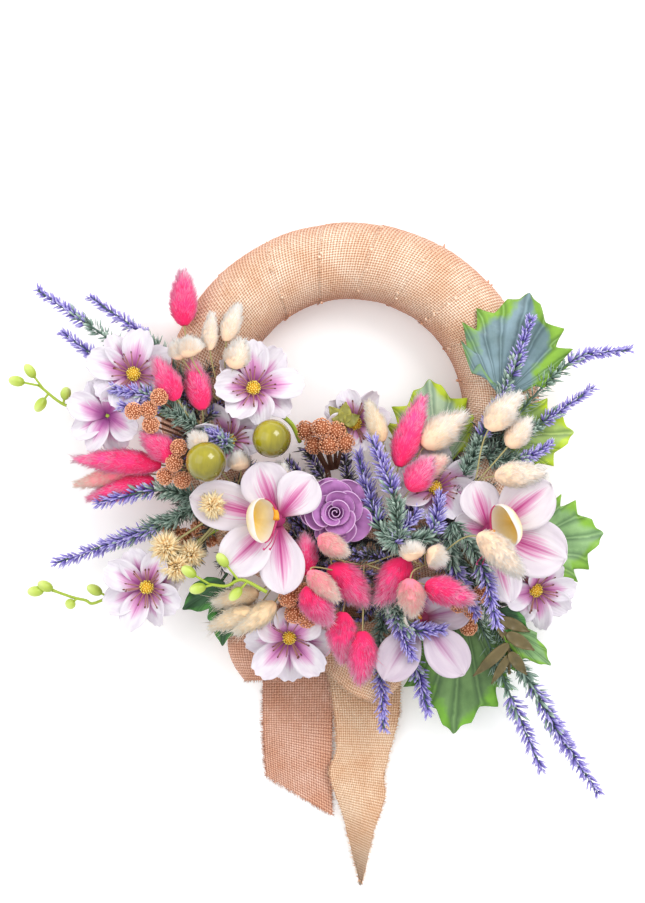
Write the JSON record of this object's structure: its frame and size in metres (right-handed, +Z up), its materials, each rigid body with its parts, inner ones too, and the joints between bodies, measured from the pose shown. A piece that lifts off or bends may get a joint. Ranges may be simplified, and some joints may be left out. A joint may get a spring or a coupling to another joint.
{
  "type": "dried flower wreath",
  "caption": "Burlap-wrapped ring wreath with dried and dyed flowers, bunny tail grass, lavender, berries and leaves along its lower half and a burlap bow below.",
  "frame": {"origin": "the middle of the bounding box's bottom, on the surface that the wreath lies on", "axes": "+Z up, out of the wreath's front; +Y from the bow to the bare top of the ring; +X to the right as seen from above"},
  "size_m": [0.4034, 0.4352, 0.0965],
  "materials": {
    "foam": "dry floral foam or a pale wrapped form, matte",
    "burlap": "natural burlap, coarse plain weave, matte",
    "leaf_blue": "preserved leaf, blue-grey, slightly waxy",
    "leaf_green": "preserved leaf, green, slightly waxy",
    "leaf_yellow": "preserved leaf, yellow-green, slightly waxy",
    "leaf_dark": "preserved leaf, dark olive green",
    "lavender": "dried lavender florets, violet blue, matte",
    "pink_tail": "dyed bunny tail grass, magenta, fluffy",
    "cream_tail": "natural bunny tail grass, cream, fluffy",
    "blush_tail": "dyed bunny tail grass, blush, fluffy",
    "orchid_petal": "pale petal with pink streaks, soft sheen",
    "orchid_lip": "pale yellow petal, soft sheen",
    "cosmos_petal": "pale pink petal, soft sheen",
    "cosmos_centre": "yellow florets, matte",
    "rose_petal": "lilac petal, velvety",
    "berry": "olive green berry, glossy",
    "brunia": "dried brunia balls, russet, matte",
    "straw": "dried straw heads, matte",
    "bud": "green buds and stems, slight sheen"
  },
  "bodies": {
    "root": {"berry_left": "berry", "berry_right": "berry", "bow_loops": "burlap", "bow_tails": "burlap", "brunia_left": "brunia", "brunia_low": "brunia", "brunia_right": "brunia", "brunia_top": "brunia", "buds_lower_left": "bud", "buds_middle": "bud", "buds_upper_left": "bud", "burlap_wrap": "burlap", "cosmos_centre": "cosmos_petal", "cosmos_centre_centre": "cosmos_centre", "cosmos_left": "cosmos_petal", "cosmos_left_centre": "cosmos_centre", "cosmos_low": "cosmos_petal", "cosmos_mid_left": "cosmos_petal", "cosmos_right": "cosmos_petal", "cosmos_top": "cosmos_petal", "cosmos_twins": "cosmos_petal", "cosmos_twins_centre": "cosmos_centre", "cosmos_upper_mid": "cosmos_petal", "cosmos_upper_mid_centre": "cosmos_centre", "foam_core": "foam", "lavender_centre": "lavender", "lavender_left": "lavender", "lavender_left_mid": "lavender", "lavender_low_centre": "lavender", "lavender_lower_right": "lavender", "lavender_right": "lavender", "lavender_right_low": "lavender", "lavender_right_top": "lavender", "lavender_upper_left": "lavender", "leaf_blue_top_right": "leaf_blue", "leaf_green_lower_right": "leaf_green", "leaf_green_right": "leaf_green", "leaf_green_top": "leaf_green", "leaf_yellow_right": "leaf_yellow", "leaves_lower_left": "leaf_dark", "orchid_left": "orchid_petal", "orchid_left_lip": "orchid_lip", "orchid_low": "orchid_petal", "orchid_right": "orchid_petal", "orchid_right_lip": "orchid_lip", "rose": "rose_petal", "sprig_lower_right": "leaf_dark", "sprig_top": "leaf_dark", "straw_heads": "straw", "tails_blush": "blush_tail", "tails_cream_left": "cream_tail", "tails_cream_low": "cream_tail", "tails_cream_lower_left": "cream_tail", "tails_cream_right": "cream_tail", "tails_cream_top": "cream_tail", "tails_cream_upper_left": "cream_tail", "tails_pink_centre": "pink_tail", "tails_pink_left": "pink_tail", "tails_pink_top": "pink_tail", "tails_pink_upper_left": "pink_tail"}
  },
  "joints": []
}
